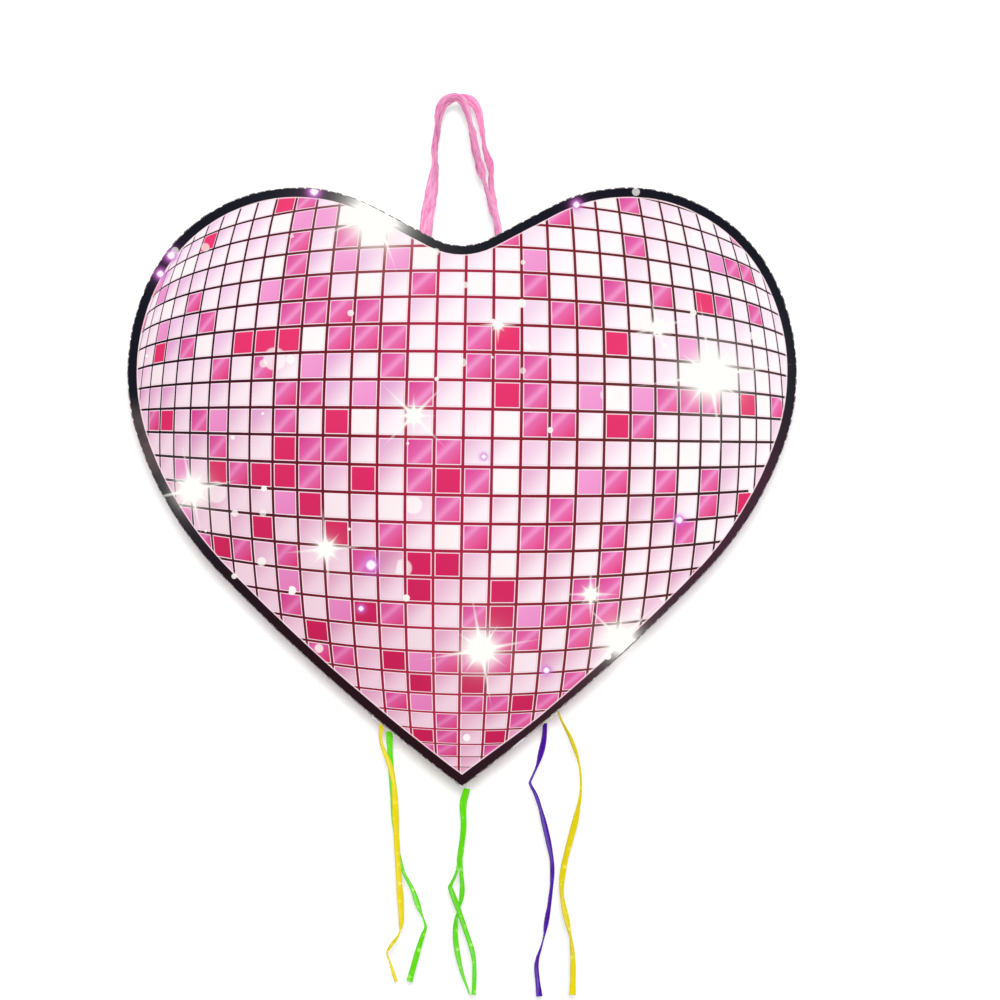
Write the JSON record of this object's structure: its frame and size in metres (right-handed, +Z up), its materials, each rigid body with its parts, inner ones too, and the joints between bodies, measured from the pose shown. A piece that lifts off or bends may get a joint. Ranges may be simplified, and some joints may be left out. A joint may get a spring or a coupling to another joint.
{
  "type": "pull-string pinata",
  "caption": "Flat heart-shaped card pinata with a mosaic-printed face, hanging ribbon loop, pull ribbons, bottom release door and rear fill hatch.",
  "frame": {"origin": "the hook point, under the crown of the doubled hanging ribbon, on the heart's centre line and half way through its depth", "axes": "+Z up, +X across the heart to the viewer's right, the printed face looks along -Y"},
  "size_m": [0.4, 0.075, 0.5453],
  "materials": {
    "card": "matte",
    "printed_face": "satin",
    "printed_back": "satin",
    "crepe": "matte",
    "patch_paper": "matte",
    "pink_ribbon": "satin",
    "green_ribbon": "gloss",
    "yellow_ribbon": "gloss",
    "purple_ribbon": "gloss"
  },
  "bodies": {
    "shell": {"front_panel": "card", "front_print": "printed_face", "back_panel": "card", "back_print": "printed_back", "side_band_left": "card", "side_band_right": "card", "side_wrap_left": "crepe", "side_wrap_right": "crepe", "hanger_plate": "card", "hanger_knot_left": "pink_ribbon", "hanger_knot_right": "pink_ribbon", "front_glue_tabs": "card", "back_glue_tabs": "card", "door_ledges": "card", "hatch_ledges": "card", "hanger_ribbon_front": "pink_ribbon", "hanger_ribbon_back": "pink_ribbon"},
    "release_door": {"release_door": "card", "door_wrap": "crepe", "pull_patch": "patch_paper"},
    "tip_ribbons": {"tip_ribbon_front": "green_ribbon", "tip_ribbon_back": "green_ribbon"},
    "fill_hatch": {"fill_hatch": "card", "hatch_print": "printed_back"},
    "yellow_left_pull": {"yellow_left_patch": "patch_paper", "yellow_left_ribbon": "yellow_ribbon"},
    "green_left_pull": {"green_left_patch": "patch_paper", "green_left_ribbon": "green_ribbon"},
    "purple_pull": {"purple_patch": "patch_paper", "purple_ribbon": "purple_ribbon"},
    "yellow_right_pull": {"yellow_right_patch": "patch_paper", "yellow_right_ribbon": "yellow_ribbon"}
  },
  "joints": [
    {"name": "release_door_hinge", "type": "hinge", "parent": "shell", "child": "release_door", "pos_m": [0.0335, 0, -0.38448], "axis": [0, -1, 0], "range_deg": [0, 52]},
    {"name": "tip_ribbons_swing", "type": "hinge", "parent": "release_door", "child": "tip_ribbons", "pos_m": [0.003, 0, -0.4083], "axis": [0, -1, 0], "range_deg": [-52, 0]},
    {"name": "fill_hatch_hinge", "type": "hinge", "parent": "shell", "child": "fill_hatch", "pos_m": [0, 0.0375, -0.15], "axis": [1, 0, 0], "range_deg": [0, 120]},
    {"name": "yellow_left_pull_off", "type": "slide", "parent": "shell", "child": "yellow_left_pull", "axis": [0, 0, -1], "range_m": [0, 0.06]},
    {"name": "green_left_pull_off", "type": "slide", "parent": "shell", "child": "green_left_pull", "axis": [0, 0, -1], "range_m": [0, 0.06]},
    {"name": "purple_pull_off", "type": "slide", "parent": "shell", "child": "purple_pull", "axis": [0, 0, -1], "range_m": [0, 0.06]},
    {"name": "yellow_right_pull_off", "type": "slide", "parent": "shell", "child": "yellow_right_pull", "axis": [0, 0, -1], "range_m": [0, 0.06]}
  ],
  "couplings": [
    {"joint": "tip_ribbons_swing", "follows": "release_door_hinge", "ratio": -1}
  ]
}
